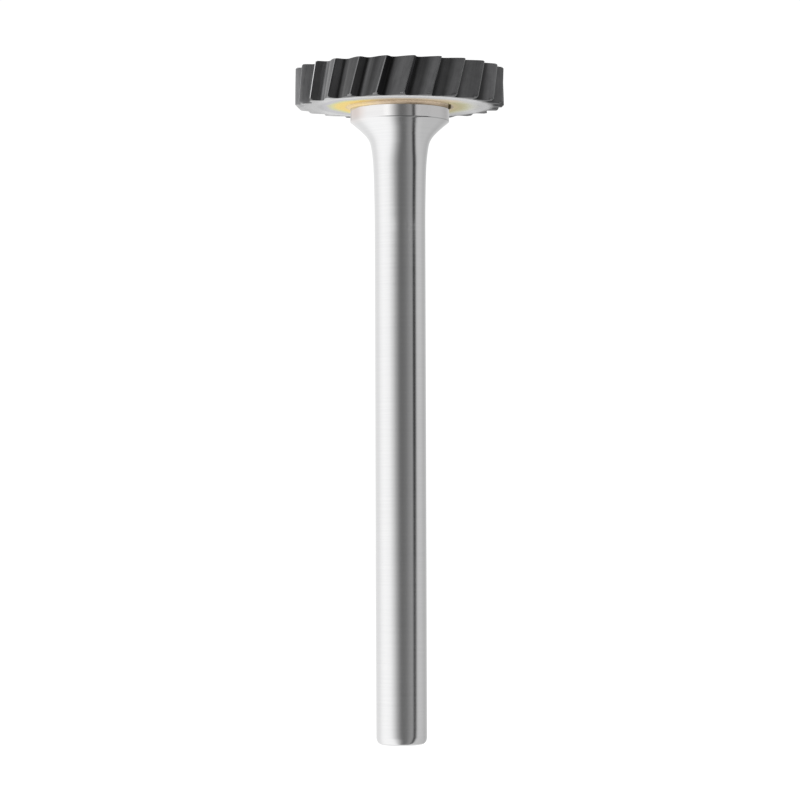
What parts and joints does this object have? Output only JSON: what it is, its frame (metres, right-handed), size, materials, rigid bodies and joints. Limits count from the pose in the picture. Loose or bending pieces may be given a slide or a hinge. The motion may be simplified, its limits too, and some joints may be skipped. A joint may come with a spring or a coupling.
{
  "type": "disc head rotary burr",
  "caption": "Carbide disc burr with right-hand helical side teeth, brazed to the flared flange of a straight steel shank for a rotary carving tool.",
  "frame": {"origin": "centre of the shank's free end face, on the spin axis", "axes": "+Z along the spin axis from the shank's free end to the disc head; +X and +Y across it, with no preferred direction because the tool turns in use"},
  "size_m": [0.0124, 0.0124, 0.04],
  "materials": {
    "carbide": "ground and fluted, dark grey, semi-gloss",
    "silver_braze": "as-brazed, pale gold with a heat tint",
    "shank_steel": "ground and polished"
  },
  "bodies": {
    "root": {"carbide_disc_head": "carbide", "braze_joint": "silver_braze", "steel_shank": "shank_steel"}
  },
  "joints": []
}
